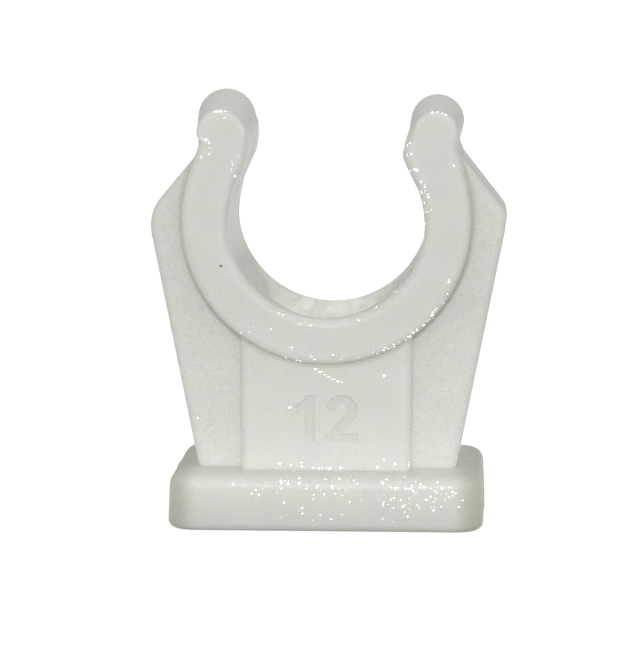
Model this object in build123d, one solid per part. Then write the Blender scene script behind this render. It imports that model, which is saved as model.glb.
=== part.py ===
from build123d import *
import os
from math import acos, atan2, cos, degrees, hypot, radians, sin, tan

# Snap-in clip for one 12 mm pipe, moulded in one piece and held to a wall by one screw.
# X runs across the clip, Y along the pipe and Z up from the mounting face.
# The origin is the centre of the mounting face. All sizes are in millimetres.

# The pipe, and the bore that it snaps into
pipe_diameter = 12.0
bore_clearance = 0.1        # between the pipe and the bore wall, at the radius
grip_clearance = 0.01       # between the pipe and the flats above its centre
bore_standoff = 12.9        # the bore's lowest line, above the mounting face

# The saddle, an open ring whose two arms end in flared lips
saddle_wall = 2.8
saddle_depth = 10.6
saddle_edge_radius = 0.5
grip_angle = 28.0           # where the flats touch the pipe, above the horizontal
flat_blend_radius = 2.5     # between each flat and the bore wall below it
snap_depth = 1.33           # how far each nose stands in from the bore wall
nose_radius = 1.6
lip_radius = 1.5
lip_outset = 0.45           # the lip's centre, out from the bore wall
lip_rise = 1.5              # the lip's centre, above the nose's centre
waist_radius = 3.0          # the hollow outside each arm, under its lip

# The fine ridge round the bore, where the two halves of the mould meet
parting_ridge_height = 0.03
parting_ridge_width = 0.14

# The base plate
base_width = 19.6           # at the foot, before the ends lean inward
base_depth = 13.6
base_thickness = 3.45
base_end_lean = 2.5         # of the two ends, from the vertical
base_corner_radius = 1.8
base_top_radius = 0.8

# The stem between the base and the saddle
stem_width = 10.56
stem_depth = 9.4
stem_edge_radius = 0.5

# The two buttress ribs, one web on each side of the stem
rib_depth = 6.9
rib_shoulder_outset = 2.2   # the shoulder, as a sharp corner, out from the ring's side
rib_shoulder_rise = 0.15    # the shoulder, above the pipe's centre
rib_shoulder_radius = 2.8
rib_foot_span = 16.1        # across the ribs' feet on the base
rib_edge_radius = 0.5

# The screw hole, with a recess that takes the whole countersunk head
screw_hole_diameter = 4.6
head_recess_diameter = 9.1
head_recess_depth = 0.25    # below the lowest line of the bore
countersink_angle = 90.0

# Worked out from the sizes above
pipe_radius = pipe_diameter / 2
bore_radius = pipe_radius + bore_clearance
grip_radius = pipe_radius + grip_clearance
saddle_radius = bore_radius + saddle_wall
mid_wall_radius = bore_radius + saddle_wall / 2
bore_height = bore_standoff + bore_radius
centre = Vector(0, bore_height)


def polar(about, radius, angle):
    """The point at a radius and an angle in degrees about another point, in the XZ plane."""
    turn = radians(angle)
    return about + Vector(radius * cos(turn), radius * sin(turn))


def heading(start, end):
    """The angle in degrees of the line from one point to another."""
    return degrees(atan2(end.Y - start.Y, end.X - start.X))


def arc(about, radius, start, end):
    """The arc between two angles in degrees, turning from the first to the second."""
    return CenterArc(about, radius, start, end - start)


def saddle_arm():
    """One half of the saddle's outline: ring, waist, lip, nose, grip flat and bore."""
    grip = radians(grip_angle)
    nose_x = bore_radius - snap_depth + nose_radius
    nose_rise = (grip_radius + nose_radius - nose_x * cos(grip)) / sin(grip)
    nose = centre + Vector(nose_x, nose_rise)
    lip = centre + Vector(bore_radius + lip_outset, nose_rise + lip_rise)

    # The waist is tangent to the ring and to the lip from outside.
    to_lip = hypot(lip.X - centre.X, lip.Y - centre.Y)
    ring_side = saddle_radius + waist_radius
    lip_side = lip_radius + waist_radius
    spread = degrees(acos((to_lip**2 + ring_side**2 - lip_side**2) / (2 * to_lip * ring_side)))
    waist = polar(centre, ring_side, heading(centre, lip) - spread)
    waist_from_ring = heading(waist, centre) + 360
    waist_to_lip = heading(waist, lip)

    # The throat wall is the straight tangent between the nose and the lip.
    to_nose = hypot(lip.X - nose.X, lip.Y - nose.Y)
    throat = heading(nose, lip) + degrees(acos((nose_radius - lip_radius) / to_nose))

    # A small arc, tangent to both, leads from the round bore into the flat.
    blend_reach = bore_radius - flat_blend_radius
    blend_turn = degrees(acos((grip_radius - flat_blend_radius) / blend_reach))
    bore_end = grip_angle - blend_turn
    blend = polar(centre, blend_reach, bore_end)

    with BuildSketch(Plane.XZ) as half:
        with BuildLine():
            arc(centre, saddle_radius, -90, heading(centre, waist))
            arc(waist, waist_radius, waist_from_ring, waist_to_lip)
            arc(lip, lip_radius, waist_to_lip - 180, throat)
            Line(polar(lip, lip_radius, throat), polar(nose, nose_radius, throat))
            arc(nose, nose_radius, throat, grip_angle + 180)
            Line(polar(nose, nose_radius, grip_angle + 180), polar(blend, flat_blend_radius, grip_angle))
            arc(blend, flat_blend_radius, grip_angle, bore_end)
            arc(centre, bore_radius, bore_end, -90)
            Line(polar(centre, bore_radius, -90), polar(centre, saddle_radius, -90))
        make_face()
        mirror(about=Plane.YZ)
    return half.sketch, lip


def front_and_back_edges(body):
    """The outline edges of the two faces that look along the pipe."""
    return body.faces().filter_by(Axis.Y).edges()


def make_saddle(outline):
    """The open ring with its lips, rounded along its front and back edges."""
    ring = extrude(outline, amount=saddle_depth / 2, both=True)
    return fillet(front_and_back_edges(ring), saddle_edge_radius)


def make_parting_ridge():
    """The mould line half way along the bore. Its two ends run out in the grip flats."""
    start = -180 - grip_angle
    ridge_radius = bore_radius - parting_ridge_height
    with BuildSketch(Plane.XZ) as band:
        with BuildLine():
            arc(centre, ridge_radius, start, grip_angle)
            Line(polar(centre, ridge_radius, grip_angle), polar(centre, mid_wall_radius, grip_angle))
            arc(centre, mid_wall_radius, grip_angle, start)
            Line(polar(centre, mid_wall_radius, start), polar(centre, ridge_radius, start))
        make_face()
    return extrude(band.sketch, amount=parting_ridge_width / 2, both=True)


def make_base():
    """The plate with ends that lean inward, round corners and a softened top edge."""
    half_foot = base_width / 2
    half_top = half_foot - base_thickness * tan(radians(base_end_lean))
    corners = [(-half_foot, 0), (half_foot, 0), (half_top, base_thickness), (-half_top, base_thickness)]
    profile = Plane.XZ * make_face(Polyline(corners, close=True))
    plate = extrude(profile, amount=base_depth / 2, both=True)
    leaning_edges = front_and_back_edges(plate) - plate.edges().filter_by(Axis.X)
    plate = fillet(leaning_edges, base_corner_radius)
    return fillet(plate.faces().sort_by(Axis.Z)[-1].edges(), base_top_radius)


def make_stem():
    """The block under the saddle, from inside the base up to the pipe's centre."""
    foot = base_thickness / 2
    block = Pos(0, 0, foot) * Box(
        stem_width, stem_depth, bore_height - foot, align=(Align.CENTER, Align.CENTER, Align.MIN)
    )
    return fillet(block.edges().filter_by(Axis.Z), stem_edge_radius)


def make_ribs(lip):
    """One web with both ribs. Its feet stand in the base, its top edges end in the lips."""
    shoulder = centre + Vector(saddle_radius + rib_shoulder_outset, rib_shoulder_rise)
    foot = Vector(rib_foot_span / 2, base_thickness)
    sunk = foot + (foot - shoulder) * (base_thickness / 2 / (shoulder.Y - foot.Y))
    with BuildSketch(Plane.XZ) as web:
        with BuildLine():
            Polyline(centre, Vector(0, sunk.Y), sunk, shoulder, lip, close=True)
        make_face()
        fillet(web.vertices().sort_by(Axis.X)[-1], rib_shoulder_radius)
        mirror(about=Plane.YZ)
    ribs = extrude(web.sketch, amount=rib_depth / 2, both=True)
    return fillet(front_and_back_edges(ribs), rib_edge_radius)


def make_ring_core():
    """A cylinder along the pipe that keeps stem and ribs out of the bore."""
    turned = Rot(90, 0, 0) * Cylinder(mid_wall_radius, base_depth + saddle_depth)
    return Pos(0, 0, bore_height) * turned


def make_screw_hole():
    """The screw's path: a through hole, a cone for the head and a recess above it."""
    seat = bore_standoff - head_recess_depth
    hole_radius = screw_hole_diameter / 2
    head_radius = head_recess_diameter / 2
    cone = (head_radius - hole_radius) / sin(radians(countersink_angle / 2))
    cone_height = cone * cos(radians(countersink_angle / 2))
    upward = (Align.CENTER, Align.CENTER, Align.MIN)
    hole = Cylinder(hole_radius, bore_height, align=upward)
    sink = Pos(0, 0, seat - cone_height) * Cone(hole_radius, head_radius, cone_height, align=upward)
    recess = Pos(0, 0, seat) * Cylinder(head_radius, bore_height - seat, align=upward)
    return hole + sink + recess


outline, lip_centre = saddle_arm()
support = make_stem() + make_ribs(lip_centre) - make_ring_core()
saddle = make_saddle(outline) + make_parting_ridge()
pipe_clip = make_base() + support + saddle - make_screw_hole()

os.makedirs("parts", exist_ok=True)
export_step(pipe_clip, "parts/pipe_clip.step")
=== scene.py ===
import math

import bmesh
import bpy
import numpy as np
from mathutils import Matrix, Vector


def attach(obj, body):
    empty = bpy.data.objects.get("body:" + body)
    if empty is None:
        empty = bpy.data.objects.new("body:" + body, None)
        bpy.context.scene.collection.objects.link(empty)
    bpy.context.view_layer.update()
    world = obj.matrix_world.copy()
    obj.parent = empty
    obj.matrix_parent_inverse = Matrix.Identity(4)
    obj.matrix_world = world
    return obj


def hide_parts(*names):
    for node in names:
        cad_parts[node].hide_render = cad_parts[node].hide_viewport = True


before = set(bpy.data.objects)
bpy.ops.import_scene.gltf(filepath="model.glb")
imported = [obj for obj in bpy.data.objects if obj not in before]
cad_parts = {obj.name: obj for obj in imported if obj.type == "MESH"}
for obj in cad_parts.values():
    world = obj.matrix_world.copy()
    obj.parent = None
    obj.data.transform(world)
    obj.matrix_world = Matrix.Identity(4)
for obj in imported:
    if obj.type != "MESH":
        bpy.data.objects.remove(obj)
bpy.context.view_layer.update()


# The clip. It is a single moulding in natural, slightly see-through white plastic, made in a
# two-part mould that opens along the pipe. The screw goes in through the mouth and pulls the
# base against the wall.

MM = 0.001
BORE_HEIGHT = 19.0 * MM
STEM_FRONT = -4.7 * MM
HEAD_RECESS_TOP = 13.5 * MM     # just past the recess for the screw's head
HEAD_RECESS_RADIUS = 4.6 * MM

FOOT_RADIUS = 0.5 * MM
FOOT_STEPS = 6

LINE_HALF_WIDTH = 0.07 * MM     # of the fine raised line where the mould's halves meet
LINE_HEIGHT = 0.045 * MM
BORE_ZONE_RADIUS = 6.3 * MM     # within which the bore has its own line, up to where its flats end
BORE_ZONE_TOP = 2.9 * MM        # above its centre

NUMBER_DEPTH = 0.11 * MM        # of the recessed size number on the stem
NUMBER_EDGE = 0.10 * MM         # the width of its sloping sides
NUMBER_CELL = 0.04 * MM
NUMBER_FIELD = (-2.25 * MM, 2.25 * MM, 4.9 * MM, 8.4 * MM)
STROKE = 0.28 * MM              # half of a stroke's width

# The two arms lean to the right, and their lips turn with them. These heights, and all below, count from
# the bore's centre.
ARM_LEAN = math.radians(1.45)
LEAN_HEIGHTS = (-1.5 * MM, 3.5 * MM)    # where the lean begins, and where it is whole
TURN_HEIGHTS = (3.0 * MM, 5.5 * MM)
BASE_SHARE = 0.992                      # of the CAD's width, from the foot up to where the ribs widen
BASE_HEIGHTS = (-14.0 * MM, -6.0 * MM)

# The lips' round tops taper from the mould line to their front and back faces, whose edges are crisp.
# For each arm (1 is the right one, -1 the left): how much larger the lip's radius is at the mould line
# and how much smaller at its faces, and how much higher its centre is at the mould line and how much
# lower at its faces.
LIP_SIDE, LIP_HEIGHT, LIP_RADIUS = 6.55 * MM, 5.73 * MM, 1.5 * MM
LIP_FACE = 5.3 * MM
LIP_EDGE = 0.5 * MM                     # the edge's radius in the CAD model
LIP_CUT = 0.14 * MM                     # between the level cuts that give the lips enough points to bend
CRISP_EDGE = 0.3                        # the share of it that is left on a lip's top
TAPER_HEIGHTS = (-2.0 * MM, 0.4 * MM)   # where the taper begins and is whole, from the lip's centre
TAPERS = (
    (-1, 0.28 * MM, 0.10 * MM, 0.0, 0.72 * MM),
    (1, 0.12 * MM, 0.24 * MM, 0.18 * MM, 0.26 * MM),
)

# Where an arm's inner wall stands further in than the CAD's: the arm, how far in, how high, and how far up
# and down the swelling reaches. It fades out from the inner wall to the middle of the arm.
SWELL_START = (-2.0 * MM, -1.0 * MM)
SWELL_MIDDLE = (6.1 * MM, 7.6 * MM)
SWELL_INSIDE = 2.0 * MM
SWELLS = (
    (1, 0.12 * MM, 0.8 * MM, 1.5 * MM),
    (1, 0.24 * MM, 2.7 * MM, 1.3 * MM),
    (1, 0.20 * MM, 4.6 * MM, 1.0 * MM),
    (-1, 0.14 * MM, 1.0 * MM, 1.5 * MM),
    (-1, -0.13 * MM, 3.9 * MM, 0.6 * MM),
    (-1, 0.18 * MM, 5.0 * MM, 0.65 * MM),
)

# Where a rib stands further out than the CAD's: the arm, how far out, how high, how far up and down it
# reaches, and from which distance beside the bore's centre it begins.
BULGES = (
    (1, 0.17 * MM, 0.2 * MM, 0.6 * MM, 9.2 * MM),
    (1, 0.12 * MM, 3.9 * MM, 0.6 * MM, 7.8 * MM),
)
BULGE_RUN = 0.8 * MM                    # over which each bulge grows from nothing to whole


def joined_mesh(node):
    """A CAD node's mesh as a bmesh, with its loose triangles joined and the CAD's normals on its corners."""
    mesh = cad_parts[node].data.copy()
    normals = np.zeros(len(mesh.loops) * 3, np.float32)
    mesh.corner_normals.foreach_get("vector", normals)
    mesh.attributes.new("kept_normal", "FLOAT_VECTOR", "CORNER").data.foreach_set("vector", normals)
    work = bmesh.new()
    work.from_mesh(mesh)
    bpy.data.meshes.remove(mesh)
    bmesh.ops.remove_doubles(work, verts=work.verts, dist=1e-7)
    work.normal_update()
    return work, work.loops.layers.float_vector["kept_normal"]


def round_foot(work, kept):
    """Rounds the base's lower edge. At angle a of the quarter circle the edge stands
    FOOT_RADIUS * (1 - cos a) inside the walls and FOOT_RADIUS * (1 - sin a) above the floor."""
    sole = {face for face in work.faces
            if face.normal.z < -0.99 and face.calc_center_median().z < 1e-6}
    rim = [edge for edge in work.edges if sum(face in sole for face in edge.link_faces) == 1]
    hole = [edge for edge in rim if edge.verts[0].co.xy.length < HEAD_RECESS_RADIUS]
    outline = [edge for edge in rim if edge.verts[0].co.xy.length >= HEAD_RECESS_RADIUS]
    outward = {}
    for vert in {vert for edge in outline for vert in edge.verts}:
        wall = sum((loop[kept] for loop in vert.link_loops if loop.face not in sole), Vector())
        vert.co.xy -= wall.xy * (FOOT_RADIUS * wall.z / wall.xy.length_squared)
        outward[vert] = Vector((wall.x, wall.y, 0)).normalized()
    walls = {edge: next(face for face in edge.link_faces if face not in sole) for edge in outline}
    turned = {edge: next(loop for loop in walls[edge].loops if loop.edge == edge).vert for edge in outline}
    bmesh.ops.delete(work, geom=list(sole), context="FACES_ONLY")
    top = {vert: vert for vert in outward}
    places = {vert: vert.co.copy() for vert in outward}
    for step in range(1, FOOT_STEPS + 1):
        turn = math.pi / 2 * step / FOOT_STEPS
        inset, height = FOOT_RADIUS * (1 - math.cos(turn)), FOOT_RADIUS * (1 - math.sin(turn))
        lift = Vector((0, 0, height))
        ring = {vert: work.verts.new(places[vert] - outward[vert] * inset + lift) for vert in outward}
        last = math.pi / 2 * (step - 1) / FOOT_STEPS
        for edge in outline:
            first = turned[edge]
            second = edge.other_vert(first)
            face = work.faces.new((top[second], top[first], ring[first], ring[second]))
            corners = ((second, last), (first, last), (first, turn), (second, turn))
            for loop, (vert, angle) in zip(face.loops, corners):
                loop[kept] = outward[vert] * math.cos(angle) - Vector((0, 0, math.sin(angle)))
        top = ring
    for vert in outward:
        vert.co.z = FOOT_RADIUS
    edges = [work.edges.get((top[edge.verts[0]], top[edge.verts[1]])) for edge in outline]
    fill_flat(work, kept, edges + hole, Vector((0, 0, -1)))


def fill_flat(work, kept, edges, facing):
    """Closes the flat ring between an outer loop of edges and an inner one."""
    filled = bmesh.ops.triangle_fill(work, use_beauty=True, edges=edges, normal=facing)
    for face in [item for item in filled["geom"] if isinstance(item, bmesh.types.BMFace)]:
        face.normal_update()
        if face.normal.dot(facing) < 0:
            face.normal_flip()
        for loop in face.loops:
            loop[kept] = facing


def bar(x, z, start, end, half):
    """The distance to a straight stroke with square ends, less than 0 inside it."""
    length = math.dist(start, end)
    along_x, along_z = (end[0] - start[0]) / length, (end[1] - start[1]) / length
    along = (x - start[0]) * along_x + (z - start[1]) * along_z
    across = (z - start[1]) * along_x - (x - start[0]) * along_z
    beyond = np.abs(along - length / 2) - length / 2
    beside = np.abs(across) - half
    return np.hypot(np.maximum(beyond, 0), np.maximum(beside, 0)) + np.minimum(np.maximum(beyond, beside), 0)


def bow(x, z, centre, radius, first, last, half):
    """The distance to a stroke bent round a centre between two angles, less than 0 inside it."""
    angle = np.clip(np.arctan2(z - centre[1], x - centre[0]), first, last)
    near_x, near_z = centre[0] + radius * np.cos(angle), centre[1] + radius * np.sin(angle)
    return np.hypot(x - near_x, z - near_z) - half


def number_depth(x, z):
    """How far the size number lies below the stem's face. The depth goes from 0 to NUMBER_DEPTH as a smooth
    step across the strokes' sloping sides."""
    foot, head = 5.2 * MM, 8.1 * MM
    one = bar(x, z, (-0.99 * MM, foot), (-0.99 * MM, head), STROKE)
    flag = bar(x, z, (-1.86 * MM, 7.22 * MM), (-1.05 * MM, 7.85 * MM), 0.7 * STROKE)
    two_top = bow(x, z, (0.98 * MM, 7.2 * MM), 0.66 * MM, math.radians(-35), math.radians(165), STROKE)
    two_slope = bar(x, z, (1.5 * MM, 6.85 * MM), (0.25 * MM, 5.5 * MM), STROKE)
    two_foot = bar(x, z, (0.0, foot + STROKE), (1.95 * MM, foot + STROKE), STROKE)
    nearest = np.minimum.reduce([one, flag, two_top, two_slope, two_foot])
    share = np.clip(0.5 - nearest / NUMBER_EDGE, 0, 1)
    return NUMBER_DEPTH * (3 * share**2 - 2 * share**3)


def cut_faces(work, faces, place, across):
    """Cuts some faces in two along a plane."""
    edges = {edge for face in faces for edge in face.edges}
    verts = {vert for face in faces for vert in face.verts}
    bmesh.ops.bisect_plane(work, geom=faces + list(edges) + list(verts), dist=1e-8,
                           plane_co=place, plane_no=across)


def stem_front_faces(work):
    """The faces that make up the stem's flat front."""
    return [face for face in work.faces
            if face.normal.y < -0.999 and abs(face.calc_center_median().y - STEM_FRONT) < 1e-6]


def carve_number(work, kept):
    """Swaps a rectangle of the stem's flat front for a fine grid that number_depth pushes in."""
    left, right, low, high = NUMBER_FIELD
    for place, across in (((left, 0, 0), (1, 0, 0)), ((right, 0, 0), (1, 0, 0)),
                          ((0, 0, low), (0, 0, 1)), ((0, 0, high), (0, 0, 1))):
        cut_faces(work, stem_front_faces(work), place, across)
    inside = [face for face in stem_front_faces(work)
              if left < face.calc_center_median().x < right and low < face.calc_center_median().z < high]
    chosen = set(inside)
    rim = [edge for edge in {edge for face in inside for edge in face.edges}
           if sum(face in chosen for face in edge.link_faces) == 1]
    bmesh.ops.delete(work, geom=inside, context="FACES_ONLY")
    kept_edges = set(rim)
    loose = [edge for edge in work.edges if not edge.link_faces and edge not in kept_edges]
    bmesh.ops.delete(work, geom=loose, context="EDGES")
    margin = 2 * NUMBER_CELL
    xs = np.arange(left + margin, right - margin / 2, NUMBER_CELL)
    zs = np.arange(low + margin, high - margin / 2, NUMBER_CELL)
    x, z = np.meshgrid(xs, zs)
    depth = number_depth(x, z)
    depth[[0, -1], :] = 0
    depth[:, [0, -1]] = 0
    slope_z, slope_x = np.gradient(depth, NUMBER_CELL)
    grid = [[work.verts.new((x[i, j], STEM_FRONT + depth[i, j], z[i, j])) for j in range(len(xs))]
            for i in range(len(zs))]
    for i in range(len(zs) - 1):
        for j in range(len(xs) - 1):
            corners = ((i, j), (i, j + 1), (i + 1, j + 1), (i + 1, j))
            face = work.faces.new([grid[a][b] for a, b in corners])
            for loop, (a, b) in zip(face.loops, corners):
                loop[kept] = Vector((slope_x[a, b], -1, slope_z[a, b])).normalized()
    grid_edges = {edge for row in grid for vert in row for edge in vert.link_edges}
    border = [edge for edge in grid_edges if edge.is_boundary]
    fill_flat(work, kept, rim + border, Vector((0, -1, 0)))


def raise_mould_line(work, kept):
    """Lifts a fine ridge along the clip's outside, half way along the pipe, where the mould parts. It leaves
    out the sole, the screw's path and the bore, which has its own in the CAD model."""
    for offset in (-LINE_HALF_WIDTH, 0, LINE_HALF_WIDTH):
        everything = work.verts[:] + work.edges[:] + work.faces[:]
        bmesh.ops.bisect_plane(work, geom=everything, dist=1e-7, plane_co=(0, offset, 0), plane_no=(0, 1, 0))
    lifted = set()
    for vert in work.verts:
        if abs(vert.co.y) > 1e-7 or vert.co.z < FOOT_RADIUS:
            continue
        from_bore = math.hypot(vert.co.x, vert.co.z - BORE_HEIGHT)
        in_screw_path = abs(vert.co.x) < HEAD_RECESS_RADIUS and vert.co.z < HEAD_RECESS_TOP
        in_bore = from_bore < BORE_ZONE_RADIUS and vert.co.z < BORE_HEIGHT + BORE_ZONE_TOP
        if in_screw_path or in_bore:
            continue
        lifted.add(vert)
    moves = {vert: sum((loop[kept] for loop in vert.link_loops), Vector()).normalized() for vert in lifted}
    for vert, outward in moves.items():
        vert.co += outward * LINE_HEIGHT
    work.normal_update()
    for face in {face for vert in lifted for face in vert.link_faces}:
        for loop in face.loops:
            loop[kept] = face.normal


def cut_lips(work):
    """Cuts the lips into level slices, from below the taper's start to their tops."""
    start, end = BORE_HEIGHT + LIP_HEIGHT + TAPER_HEIGHTS[0], BORE_HEIGHT + LIP_HEIGHT + LIP_RADIUS
    for level in np.arange(start, end, LIP_CUT):
        faces = [face for face in work.faces if max(vert.co.z for vert in face.verts) > start]
        cut_faces(work, faces, (0, 0, level), (0, 0, 1))


def straight_step(value, ends):
    """How far a value has come from one end to the other, from 0 to 1."""
    return np.clip((value - ends[0]) / (ends[1] - ends[0]), 0, 1)


def smooth_step(value, ends):
    """The same with a soft start and end: 3 t squared minus 2 t cubed."""
    t = straight_step(value, ends)
    return 3 * t**2 - 2 * t**3


def taper_lips(x, y, z):
    """Where the points of the lips' round tops go. Their distance from the lip's centre and its height change
    in proportion to the distance from the mould line, and the rounding of the front and back edges shrinks
    to a share."""
    for arm, grown, shrunk, raised, lowered in TAPERS:
        across, above = arm * x - LIP_SIDE, z - LIP_HEIGHT
        share = smooth_step(above, TAPER_HEIGHTS) * (arm * x > 0)
        tight = 1 - (1 - CRISP_EDGE) * share
        outward = np.abs(y) / LIP_FACE
        reach = np.maximum(np.hypot(across, above), LIP_RADIUS - LIP_EDGE)
        new_reach = LIP_RADIUS - (LIP_RADIUS - reach) * tight + share * (grown - (grown + shrunk) * outward)
        stretch = new_reach / reach
        x = arm * (LIP_SIDE + across * stretch)
        z = LIP_HEIGHT + above * stretch + share * (raised - (raised + lowered) * outward)
        flat = LIP_FACE - LIP_EDGE
        flat_end = LIP_FACE - LIP_EDGE * tight
        y = np.sign(y) * np.where(np.abs(y) > flat, LIP_FACE - (LIP_FACE - np.abs(y)) * tight,
                                  np.abs(y) * flat_end / flat)
    return x, y, z


def bend_arms(points):
    """Where the clip's points go: the lips' tops taper, each arm's inner wall and the right rib swell in bell
    curves, the base is a little narrower and the arms lean right by a turn about the pipe's axis that grows
    smoothly with height."""
    x, y, z = taper_lips(points[:, 0], points[:, 1], points[:, 2] - BORE_HEIGHT)
    inner = 1 - straight_step(np.abs(x), SWELL_MIDDLE)
    above = straight_step(z, SWELL_START)
    for arm, amount, height, reach in SWELLS:
        bell = np.exp(-(((z - height) / reach) ** 2))
        x = x - arm * amount * bell * above * inner * straight_step(arm * x, (0, SWELL_INSIDE))
    for arm, amount, height, reach, start in BULGES:
        bell = np.exp(-(((z - height) / reach) ** 2))
        x = x + arm * amount * bell * smooth_step(arm * x, (start, start + BULGE_RUN))
    x = x * (BASE_SHARE + (1 - BASE_SHARE) * smooth_step(z, BASE_HEIGHTS))
    lean = ARM_LEAN * smooth_step(z, LEAN_HEIGHTS)
    turn = ARM_LEAN * smooth_step(z, TURN_HEIGHTS)
    return np.stack((x + z * np.sin(lean), y, BORE_HEIGHT + z - x * np.sin(turn)), axis=1)


def bend_normals(points, normals):
    """The normals after bend_arms: each is multiplied by the inverse transpose of the bend's slopes at its
    point."""
    step = 1e-6
    slopes = [(bend_arms(points + step * axis) - bend_arms(points - step * axis)) / (2 * step)
              for axis in np.eye(3)]
    slopes = np.stack(slopes, axis=2)
    bent = np.linalg.solve(slopes.transpose(0, 2, 1), normals[:, :, None])[:, :, 0]
    return bent / np.linalg.norm(bent, axis=1, keepdims=True)


def moulded_clip():
    """The finished moulding: a copy of the CAD node with its details cut in, bent as one mesh at the end."""
    work, kept = joined_mesh("pipe_clip")
    round_foot(work, kept)
    carve_number(work, kept)
    raise_mould_line(work, kept)
    cut_lips(work)
    mesh = bpy.data.meshes.new("moulded_clip")
    bmesh.ops.triangulate(work, faces=[face for face in work.faces if len(face.verts) > 4])
    work.to_mesh(mesh)
    work.free()
    points = np.zeros(len(mesh.vertices) * 3)
    mesh.vertices.foreach_get("co", points)
    points = points.reshape(-1, 3)
    corner = np.zeros(len(mesh.loops), int)
    mesh.loops.foreach_get("vertex_index", corner)
    normals = np.zeros(len(mesh.loops) * 3)
    mesh.attributes["kept_normal"].data.foreach_get("vector", normals)
    normals = bend_normals(points[corner], normals.reshape(-1, 3))
    mesh.vertices.foreach_set("co", bend_arms(points).ravel())
    mesh.polygons.foreach_set("use_smooth", np.ones(len(mesh.polygons), bool))
    mesh.attributes.remove(mesh.attributes["kept_normal"])
    mesh.normals_split_custom_set(normals)
    clip = bpy.data.objects.new("moulded_clip", mesh)
    bpy.context.scene.collection.objects.link(clip)
    return clip


clip = moulded_clip()


# The plastic's look. The mould's fine grain breaks the light into glints on the base and along the ring's
# edges. Its colour holds painted light and shade: by height, inside the arms and the bore, at the base's
# ends, in the crease round the ring, on the number's floor and along the flow lines. A few marks are its
# own: a speck, a scratch and flow lines.

def new_node(tree, kind, operation=None, **values):
    """A node with its operation set and its inputs, named or by place as in_0, linked or given values."""
    node = tree.nodes.new(kind)
    if operation:
        node.operation = operation
    for name, value in values.items():
        place = int(name[3:]) if name.startswith("in_") else name.replace("_", " ")
        if isinstance(value, bpy.types.NodeSocket):
            tree.links.new(value, node.inputs[place])
        else:
            node.inputs[place].default_value = value
    return node


def math_value(tree, operation, *values):
    """A sum, product or the like of two or more values, taken one after the other."""
    result = values[0]
    for value in values[1:]:
        result = new_node(tree, "ShaderNodeMath", operation, in_0=result, in_1=value).outputs[0]
    return result


def times(tree, *values):
    """The product of several values."""
    return math_value(tree, "MULTIPLY", *values)


def size_of(tree, value):
    """A value without its sign."""
    return new_node(tree, "ShaderNodeMath", "ABSOLUTE", in_0=value).outputs[0]


def fade(tree, value, ends, low, high):
    """A value's smooth passage from low to high between two ends."""
    node = new_node(tree, "ShaderNodeMapRange", in_0=value, in_1=ends[0], in_2=ends[1], in_3=low, in_4=high)
    node.interpolation_type = "SMOOTHSTEP"
    return node.outputs[0]


def rise(tree, value, ends):
    """0 up to the first end and 1 past the second."""
    return fade(tree, value, ends, 0.0, 1.0)


def fall(tree, value, ends):
    """1 up to the first end and 0 past the second."""
    return fade(tree, value, ends, 1.0, 0.0)


def factor(tree, mask, share):
    """What to multiply by: 1 where a mask is 0, a share where it is 1."""
    return fade(tree, mask, (0.0, 1.0), 1.0, share)


def noise(tree, place, scale, detail):
    """Soft clouds from about 0 to 1, with scale as their number in each mm."""
    return new_node(tree, "ShaderNodeTexNoise", Vector=place, Scale=scale, Detail=detail).outputs["Fac"]


PATCH_CORE = 0.45       # the share of a patch's size over which it is whole


def patch_group():
    """A soft ellipsoid: 1 at its centre, 0 at Size from it along each axis."""
    group = bpy.data.node_groups.new("soft_patch", "ShaderNodeTree")
    group.interface.new_socket("Place", in_out="INPUT", socket_type="NodeSocketVector")
    group.interface.new_socket("Centre", in_out="INPUT", socket_type="NodeSocketVector")
    group.interface.new_socket("Size", in_out="INPUT", socket_type="NodeSocketVector")
    group.interface.new_socket("Mask", in_out="OUTPUT", socket_type="NodeSocketFloat")
    ins = group.nodes.new("NodeGroupInput").outputs
    outs = group.nodes.new("NodeGroupOutput").inputs
    offset = new_node(group, "ShaderNodeVectorMath", "SUBTRACT", in_0=ins["Place"], in_1=ins["Centre"])
    share = new_node(group, "ShaderNodeVectorMath", "DIVIDE", in_0=offset.outputs[0], in_1=ins["Size"])
    length = new_node(group, "ShaderNodeVectorMath", "LENGTH", in_0=share.outputs[0]).outputs["Value"]
    group.links.new(fall(group, length, (PATCH_CORE, 1.0)), outs["Mask"])
    return group


patch = patch_group()
plastic = bpy.data.materials.new("natural_plastic")
plastic.use_nodes = True
tree = plastic.node_tree
shader = tree.nodes["Principled BSDF"]

# Places on the clip in mm, from the middle of its foot. All sizes below are in mm too.
object_place = tree.nodes.new("ShaderNodeTexCoord").outputs["Object"]
place = new_node(tree, "ShaderNodeVectorMath", "SCALE", in_0=object_place, Scale=1 / MM).outputs[0]
x, y, z = new_node(tree, "ShaderNodeSeparateXYZ", in_0=place).outputs
side = size_of(tree, x)
depth = size_of(tree, y)

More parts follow.
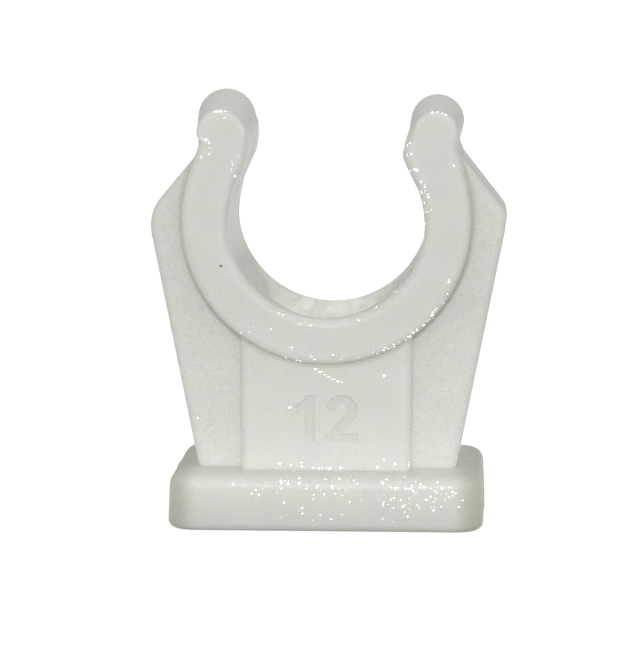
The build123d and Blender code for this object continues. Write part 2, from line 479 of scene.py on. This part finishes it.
# Where glints gather: centre, size, and how many of the grain's facets turn into glints.
GLINTS = (
    ((5.2, -6.8, 2.3), (3.9, 1.5, 1.3), 0.62),
    ((0.8, -6.7, 2.85), (8.0, 1.5, 0.75), 0.42),
    ((0.5, -6.8, 1.9), (8.5, 1.5, 1.7), 0.08),
    ((3.9, -5.2, 10.95), (1.6, 0.6, 0.55), 0.45),
    ((5.5, -5.2, 11.9), (1.3, 0.6, 0.85), 0.60),
    ((6.9, -5.2, 13.3), (1.0, 0.6, 1.1), 0.55),
    ((7.9, -5.2, 14.8), (0.6, 0.6, 1.1), 0.15),
    ((-0.6, -5.2, 10.60), (3.2, 0.6, 0.35), 0.22),
    ((-4.2, -5.2, 12.2), (1.5, 0.6, 0.8), 0.20),
    ((5.1, -5.2, 22.4), (0.5, 0.6, 1.9), 0.70),
    ((5.95, -5.2, 20.0), (0.45, 0.6, 1.9), 0.45),
    ((-7.3, -5.2, 23.4), (0.6, 0.6, 0.9), 0.50),
    ((-5.4, -5.2, 22.1), (0.5, 0.6, 1.1), 0.50),
    ((4.6, -4.2, 14.9), (1.0, 1.2, 1.2), 0.60),
    ((-5.0, -3.0, 15.1), (0.9, 2.5, 1.5), 0.45),
    ((4.0, -4.7, 3.85), (1.8, 0.7, 0.5), 0.50),
    ((-1.5, -4.7, 3.75), (3.5, 0.7, 0.35), 0.40),
    ((4.95, -4.7, 8.60), (0.16, 0.5, 0.16), 1.0),
)
# Single bright marks, with their centre and size: a string of them along the ring's lower edge and the
# right arm's inner edge, the crest of each lip's front edge, and a scratch on the stem.
BRIGHT_MARKS = (
    ((3.84, -5.2, 11.13), (0.10, 0.5, 0.08)),
    ((4.19, -5.2, 11.41), (0.12, 0.5, 0.09)),
    ((4.47, -5.2, 11.49), (0.12, 0.5, 0.09)),
    ((5.09, -5.2, 11.87), (0.16, 0.5, 0.12)),
    ((5.36, -5.2, 12.14), (0.17, 0.5, 0.14)),
    ((5.99, -5.2, 12.59), (0.17, 0.5, 0.14)),
    ((6.26, -5.2, 12.87), (0.14, 0.5, 0.12)),
    ((6.53, -5.2, 13.23), (0.12, 0.5, 0.14)),
    ((6.70, -5.2, 13.50), (0.11, 0.5, 0.12)),
    ((7.15, -5.2, 13.96), (0.16, 0.5, 0.14)),
    ((7.45, -5.2, 14.50), (0.10, 0.5, 0.10)),
    ((-5.16, -5.2, 12.03), (0.12, 0.5, 0.10)),
    ((-3.90, -5.2, 10.98), (0.10, 0.5, 0.07)),
    ((-2.09, -5.3, 11.19), (0.18, 0.5, 0.08)),
    ((-2.47, -5.2, 10.54), (0.10, 0.5, 0.06)),
    ((-1.55, -5.2, 10.33), (0.14, 0.5, 0.08)),
    ((-0.65, -5.2, 10.47), (0.14, 0.5, 0.07)),
    ((1.05, -5.2, 10.48), (0.12, 0.5, 0.07)),
    ((2.04, -5.2, 10.58), (0.10, 0.5, 0.06)),
    ((-2.84, -5.2, 13.29), (0.12, 0.5, 0.06)),
    ((-2.59, -5.2, 13.17), (0.10, 0.5, 0.06)),
    ((-1.55, -5.2, 12.62), (0.16, 0.5, 0.05)),
    ((-0.94, -5.2, 12.56), (0.16, 0.5, 0.05)),
    ((2.04, -5.2, 12.89), (0.09, 0.5, 0.08)),
    ((5.56, -5.25, 22.06), (0.17, 0.5, 0.15)),
    ((5.79, -5.25, 21.36), (0.14, 0.5, 0.12)),
    ((6.02, -5.25, 21.05), (0.12, 0.5, 0.12)),
    ((6.26, -5.25, 20.43), (0.11, 0.5, 0.11)),
    ((6.45, -5.25, 19.66), (0.11, 0.5, 0.11)),
    ((-6.70, -5.25, 25.57), (0.24, 0.3, 0.09)),
    ((-6.38, -5.25, 25.61), (0.30, 0.3, 0.10)),
    ((-6.06, -5.25, 25.60), (0.22, 0.3, 0.10)),
    ((-6.12, -5.30, 25.22), (0.14, 0.3, 0.07)),
    ((6.46, -5.25, 25.57), (0.18, 0.3, 0.09)),
    ((6.78, -5.25, 25.60), (0.24, 0.3, 0.10)),
    ((7.10, -5.25, 25.54), (0.20, 0.3, 0.09)),
    ((7.30, -5.25, 25.43), (0.14, 0.3, 0.10)),
    ((-0.63, -4.7, 9.78), (0.15, 0.3, 0.13)),
    ((-0.34, -4.7, 9.60), (0.20, 0.3, 0.06)),
    ((-0.05, -4.7, 9.41), (0.15, 0.3, 0.09)),
    ((0.18, -4.7, 9.29), (0.15, 0.3, 0.08)),
    ((0.45, -4.7, 9.15), (0.20, 0.3, 0.05)),
    ((0.75, -4.7, 9.04), (0.20, 0.3, 0.10)),
    ((0.97, -4.7, 9.00), (0.12, 0.3, 0.05)),
)
# Where the bore's wall catches more light, close behind its front edge and in the thin wall behind the screw.
WALL_LIGHTS = (
    ((3.32, -3.0, 14.08), (0.35, 3.0, 0.16), 0.8),
    ((3.93, -3.0, 14.52), (0.35, 3.0, 0.20), 1.0),
    ((4.41, -3.0, 14.95), (0.30, 3.0, 0.24), 1.0),
    ((4.78, -3.0, 15.38), (0.25, 3.0, 0.28), 0.8),
    ((-4.45, -3.0, 15.75), (0.25, 3.0, 0.35), 0.6),
    ((-3.90, -3.0, 15.26), (0.35, 3.0, 0.25), 0.7),
    ((-3.29, -3.0, 14.65), (0.35, 3.0, 0.22), 0.8),
    ((-2.62, -3.0, 14.16), (0.35, 3.0, 0.18), 0.8),
    ((1.60, 4.5, 12.91), (0.75, 1.5, 0.30), 0.8),
    ((-1.91, 4.5, 12.76), (0.90, 1.5, 0.40), 0.5),
)
# The faint flow lines low on the stem stand slightly raised. They are not raised here but painted whiter, a
# painted highlight along them.
FLOW_MARKS = (
    ((0.65, -4.7, 4.78), (0.36, 0.3, 0.07)),
    ((1.55, -4.7, 4.74), (0.34, 0.3, 0.07)),
    ((2.05, -4.7, 4.82), (0.26, 0.3, 0.06)),
    ((2.35, -4.7, 4.91), (0.24, 0.3, 0.06)),
    ((2.65, -4.7, 4.98), (0.26, 0.3, 0.06)),
)


def patches(tree, place, marks):
    """The strongest of several soft patches, each times its share if it has one."""
    strongest = None
    for centre, size, *share in marks:
        here = tree.nodes.new("ShaderNodeGroup")
        here.node_tree = patch
        tree.links.new(place, here.inputs["Place"])
        here.inputs["Centre"].default_value = centre
        here.inputs["Size"].default_value = size
        mask = times(tree, here.outputs["Mask"], *share)
        strongest = math_value(tree, "MAXIMUM", strongest, mask) if strongest else mask
    return strongest


# Painted light and shade by height: darker at the foot, a painted shade band on the base's top, lightest just
# above the base, where the base bounces light up, and darker upward to the ring.
HEIGHT_LIGHT_AND_SHADE = ((0.0, 0.70), (1.0, 0.76), (2.2, 0.83), (3.0, 0.85), (3.42, 0.765), (3.6, 0.945), (4.6, 0.905),
             (6.0, 0.86), (7.5, 0.825), (10.0, 0.815), (12.0, 0.785), (13.5, 0.765))
RAMP_TOP = 26.0
ramp = new_node(tree, "ShaderNodeValToRGB", Fac=math_value(tree, "DIVIDE", z, RAMP_TOP))
ramp.color_ramp.elements.remove(ramp.color_ramp.elements[1])
for number, (height, white) in enumerate(HEIGHT_LIGHT_AND_SHADE):
    share = height / RAMP_TOP
    stop = ramp.color_ramp.elements[0] if number == 0 else ramp.color_ramp.elements.new(share)
    stop.position = share
    stop.color = (white, white, white, 1)
whiteness = new_node(tree, "ShaderNodeSeparateColor", in_0=ramp.outputs[0]).outputs[0]

# Painted shade: the base's two ends, whose rounded corners turn away from the flash, are painted darker and
# yellower.
BASE_TOP = (3.55, 3.75)
END_SHADE_SIDE = (7.4, 9.4)
END_SHADE_WHITENESS = 0.76
END_SHADE_YELLOW = 0.09
end_shade = times(tree, fall(tree, z, BASE_TOP), rise(tree, side, END_SHADE_SIDE))
whiteness = times(tree, whiteness, factor(tree, end_shade, END_SHADE_WHITENESS))

# The walls inside the arms light each other, most at the back and least near the lips' tops.
WALL_SIDE = (6.1, 6.35)
WALL_FOOT = (15.0, 18.0)
WALL_EDGE = (4.7, 5.15)
WALL_TOP = (23.0, 25.8)
WALL_LENGTH = (-4.0, 4.5)
WALL_WHITENESS = 1.23
inner_wall = times(
    tree,
    fall(tree, side, WALL_SIDE),
    rise(tree, z, WALL_FOOT),
    fall(tree, depth, WALL_EDGE),
    fade(tree, z, WALL_TOP, 1.0, 0.15),
    fade(tree, noise(tree, place, scale=0.7, detail=3.0), (0.3, 0.7), 0.75, 1.25),
    fade(tree, y, WALL_LENGTH, 0.8, 1.25),
)
whiteness = times(tree, whiteness, factor(tree, inner_wall, WALL_WHITENESS))

# The far wall of the screw's recess is thin enough to let light through from behind, in uneven patches.
THIN_WALL_START = (1.5, 3.2)
THIN_WALL_END = (4.9, 5.2)
THIN_WALL_SIDE = (4.6, 5.6)
THIN_WALL_FOOT = (11.5, 12.6)
THIN_WALL_TOP = (14.5, 16.0)
cloud_place = new_node(tree, "ShaderNodeVectorMath", "MULTIPLY", in_0=place, in_1=(1.0, 0.5, 0.7)).outputs[0]
thin_wall = times(
    tree,
    rise(tree, y, THIN_WALL_START),
    fall(tree, y, THIN_WALL_END),
    fall(tree, side, THIN_WALL_SIDE),
    rise(tree, z, THIN_WALL_FOOT),
    fall(tree, z, THIN_WALL_TOP),
    fade(tree, noise(tree, cloud_place, scale=1.1, detail=4.0), (0.35, 0.65), 0.12, 0.36),
)
whiteness = times(tree, whiteness, math_value(tree, "ADD", thin_wall, 1.0))
whiteness = times(tree, whiteness, factor(tree, patches(tree, place, WALL_LIGHTS), 1.28))

# Painted shade: the crease round the ring, where it stands out from the stem and the ribs, is painted darker
# and yellower.
CREASE_RADIUS = 8.95
CREASE_WIDTH = (0.05, 0.36)
CREASE_TOP = (21.5, 23.5)
CREASE_SHADE_WHITENESS = 0.89
CREASE_SHADE_YELLOW = 0.05
from_centre = math_value(tree, "SUBTRACT", z, BORE_HEIGHT / MM)
squares = math_value(tree, "ADD", times(tree, x, x), times(tree, from_centre, from_centre))
from_bore = new_node(tree, "ShaderNodeMath", "SQRT", in_0=squares).outputs[0]
from_crease = size_of(tree, math_value(tree, "SUBTRACT", from_bore, CREASE_RADIUS))
crease = times(tree, fall(tree, from_crease, CREASE_WIDTH), fall(tree, z, CREASE_TOP))
whiteness = times(tree, whiteness, factor(tree, crease, CREASE_SHADE_WHITENESS))

# Broad clouds, the mould's fine grit, and the painted highlight along the flow lines.
cloud = noise(tree, place, scale=0.45, detail=3.0)
grit = noise(tree, place, scale=10.0, detail=2.0)
whiteness = times(tree, whiteness, fade(tree, cloud, (0.25, 0.75), 0.985, 1.015))
whiteness = times(tree, whiteness, fade(tree, grit, (0.2, 0.8), 0.925, 1.075))
whiteness = times(tree, whiteness, factor(tree, patches(tree, place, FLOW_MARKS), 1.06))

# Painted shade in the number's recess: its floor is painted a little darker than the grained face round it.
NUMBER_FRONT = (-4.69, -4.60)
NUMBER_BACK = (-4.5, -4.4)
NUMBER_SIDE = (2.3, 2.4)
in_number = times(tree, rise(tree, y, NUMBER_FRONT), fall(tree, y, NUMBER_BACK),
                  fall(tree, side, NUMBER_SIDE))
whiteness = times(tree, whiteness, factor(tree, in_number, 0.968))

# The colour: white with a little blue taken out, more in the painted shade at the base's ends and in the
# ring's crease, and the dark speck on the ring's left side. A Mix node's inputs 4 and 5 are its two vectors,
# and 6 and 7 its two colours.
SPECK = ((-6.37, -5.3, 16.16), (0.14, 0.3, 0.10))
yellow = math_value(
    tree,
    "ADD",
    fade(tree, noise(tree, place, scale=1.6, detail=2.0), (0.3, 0.7), 0.045, 0.085),
    times(tree, end_shade, END_SHADE_YELLOW),
    times(tree, crease, CREASE_SHADE_YELLOW),
)
blue = times(tree, whiteness, math_value(tree, "SUBTRACT", 1.0, yellow))
colour = new_node(tree, "ShaderNodeCombineColor", in_0=whiteness, in_1=whiteness, in_2=blue).outputs[0]
dirty = new_node(tree, "ShaderNodeMix", in_0=patches(tree, place, [SPECK]))
dirty.data_type = "RGBA"
tree.links.new(colour, dirty.inputs[6])
dirty.inputs[7].default_value = (0.22, 0.17, 0.14, 1)
tree.links.new(dirty.outputs[2], shader.inputs["Base Color"])

# The glints. Cells of the grain, chosen by luck where they gather, are flat facets that face half way
# between the camera and the flash. Between the bright ones lie finer and duller ones.
STRAY_GLINTS = 0.002
FINE_GLINT = 0.5
cells = new_node(tree, "ShaderNodeTexVoronoi", Vector=place, Scale=4.5)
three_lucks = new_node(tree, "ShaderNodeSeparateColor", in_0=cells.outputs["Color"])
luck, size_luck, tilt_luck = three_lucks.outputs[:3]
density = math_value(tree, "ADD", patches(tree, place, GLINTS), STRAY_GLINTS)
facet_radius = math_value(tree, "ADD", 0.22, times(tree, size_luck, 0.30))
past_facet = math_value(tree, "SUBTRACT", cells.outputs["Distance"], facet_radius)
glint = times(tree, math_value(tree, "LESS_THAN", luck, density), fall(tree, past_facet, (-0.10, 0.04)))
fine_cells = new_node(tree, "ShaderNodeTexVoronoi", Vector=place, Scale=8.5)
fine_luck = new_node(tree, "ShaderNodeSeparateColor", in_0=fine_cells.outputs["Color"]).outputs[0]
fine_glint = times(tree, math_value(tree, "LESS_THAN", fine_luck, density),
                   fade(tree, fine_cells.outputs["Distance"], (0.25, 0.45), FINE_GLINT, 0.0))
glint = math_value(tree, "MAXIMUM", glint, fine_glint, patches(tree, place, BRIGHT_MARKS))

# The facets' normal changes a little over the clip, as the camera and the flash are near, and by luck.
FACET_NORMAL = (0.044, -0.97, 0.254)
FACET_TILT = 0.06
ACROSS_CHANGE = 0.0037      # for each mm
UP_CHANGE = 0.0036
tilt = fade(tree, tilt_luck, (0.0, 1.0), FACET_NORMAL[0] - FACET_TILT, FACET_NORMAL[0] + FACET_TILT)
facet = new_node(tree, "ShaderNodeCombineXYZ", in_1=FACET_NORMAL[1],
                 in_0=math_value(tree, "SUBTRACT", tilt, times(tree, x, ACROSS_CHANGE)),
                 in_2=math_value(tree, "SUBTRACT", FACET_NORMAL[2], times(tree, z, UP_CHANGE)))
grain = new_node(tree, "ShaderNodeBump", Strength=0.35, Distance=0.03 * MM, Height=grit)
turned = new_node(tree, "ShaderNodeMix", in_0=glint)
turned.data_type = "VECTOR"
tree.links.new(grain.outputs[0], turned.inputs[4])
tree.links.new(facet.outputs[0], turned.inputs[5])
straight = new_node(tree, "ShaderNodeVectorMath", "NORMALIZE", in_0=turned.outputs[1]).outputs[0]
tree.links.new(straight, shader.inputs["Normal"])

PLASTIC_ROUGHNESS = 0.45
FACET_ROUGHNESS = 0.12
tree.links.new(fade(tree, glint, (0.0, 1.0), PLASTIC_ROUGHNESS, FACET_ROUGHNESS), shader.inputs["Roughness"])
shader.inputs["IOR"].default_value = 1.53
shader.inputs["Subsurface Weight"].default_value = 0.5
shader.inputs["Subsurface Radius"].default_value = (1.0, 0.95, 0.8)
shader.inputs["Subsurface Scale"].default_value = 1.2 * MM
clip.data.materials.append(plastic)

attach(clip, "root")
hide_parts("pipe_clip")


# The floor, a sheet of white paper under the clip. It is pale grey to the light, and glows enough for the
# camera to see it as white where no shadow falls on it.

FLOOR_HALF = 3.0
FLOOR_DROP = 0.01 * MM
PAPER_GREY = 0.7
PAPER_GLOW = 0.75


def flat_floor(half):
    corners = [(-half, -half, 0), (half, -half, 0), (half, half, 0), (-half, half, 0)]
    mesh = bpy.data.meshes.new("floor")
    mesh.from_pydata(corners, [], [(0, 1, 2, 3)])
    floor = bpy.data.objects.new("floor", mesh)
    bpy.context.scene.collection.objects.link(floor)
    return floor


floor = flat_floor(FLOOR_HALF)
floor.location.z = -FLOOR_DROP
paper = bpy.data.materials.new("white_paper")
paper.use_nodes = True
tree = paper.node_tree
tree.nodes.clear()
path = tree.nodes.new("ShaderNodeLightPath")
seen = math_value(tree, "MAXIMUM", path.outputs["Is Camera Ray"], path.outputs["Is Glossy Ray"])
diffuse = new_node(tree, "ShaderNodeBsdfDiffuse", Color=(PAPER_GREY, PAPER_GREY, PAPER_GREY, 1))
glow = new_node(tree, "ShaderNodeEmission", Color=(1, 1, 1, 1), Strength=times(tree, seen, PAPER_GLOW))
both = new_node(tree, "ShaderNodeAddShader", in_0=diffuse.outputs[0], in_1=glow.outputs[0])
new_node(tree, "ShaderNodeOutputMaterial", Surface=both.outputs[0])
floor.data.materials.append(paper)


# The light: a small flash close above the camera, a weak soft lamp high on the right, and a pale room that
# the camera sees as white.

LIT_POINT = Vector((0, 0, 12 * MM))


def soft_lamp(name, place, size, power):
    data = bpy.data.lights.new(name, "AREA")
    data.shape = "DISK"
    data.size = size
    data.energy = power
    lamp = bpy.data.objects.new(name, data)
    bpy.context.scene.collection.objects.link(lamp)
    lamp.location = place
    lamp.rotation_euler = (LIT_POINT - Vector(place)).to_track_quat("-Z", "Y").to_euler()


soft_lamp("flash_lamp", place=(13 * MM, -382 * MM, 129 * MM), size=80 * MM, power=0.45)
soft_lamp("sky_lamp", place=(100 * MM, -80 * MM, 450 * MM), size=300 * MM, power=0.17)

ROOM_STRENGTH = 0.52
SEEN_STRENGTH = 1.0

room = bpy.data.worlds.new("room")
bpy.context.scene.world = room
room.use_nodes = True
tree = room.node_tree
background = tree.nodes["Background"]
background.inputs["Color"].default_value = (1, 1, 1, 1)
path = tree.nodes.new("ShaderNodeLightPath")
strength = new_node(tree, "ShaderNodeMix", Factor=path.outputs["Is Camera Ray"],
                    A=ROOM_STRENGTH, B=SEEN_STRENGTH)
tree.links.new(strength.outputs["Result"], background.inputs["Strength"])


# The camera, at the photograph's viewing angle.

AZIMUTH = math.radians(3.163)
ELEVATION = math.radians(7.168)
DISTANCE = 217.095 * MM
AIM = Vector((-0.740 * MM, 0, 11.973 * MM))
LENS = 192.76

back = Vector((
    math.sin(AZIMUTH) * math.cos(ELEVATION),
    -math.cos(AZIMUTH) * math.cos(ELEVATION),
    math.sin(ELEVATION),
))
lens = bpy.data.cameras.new("camera")
lens.lens = LENS
lens.sensor_width = 36
lens.sensor_fit = "AUTO"
lens.clip_start = 0.01
lens.clip_end = 10
camera = bpy.data.objects.new("camera", lens)
bpy.context.scene.collection.objects.link(camera)
camera.location = AIM + back * DISTANCE
camera.rotation_euler = back.to_track_quat("Z", "Y").to_euler()
bpy.context.scene.camera = camera
bpy.context.scene.view_settings.view_transform = "Standard"
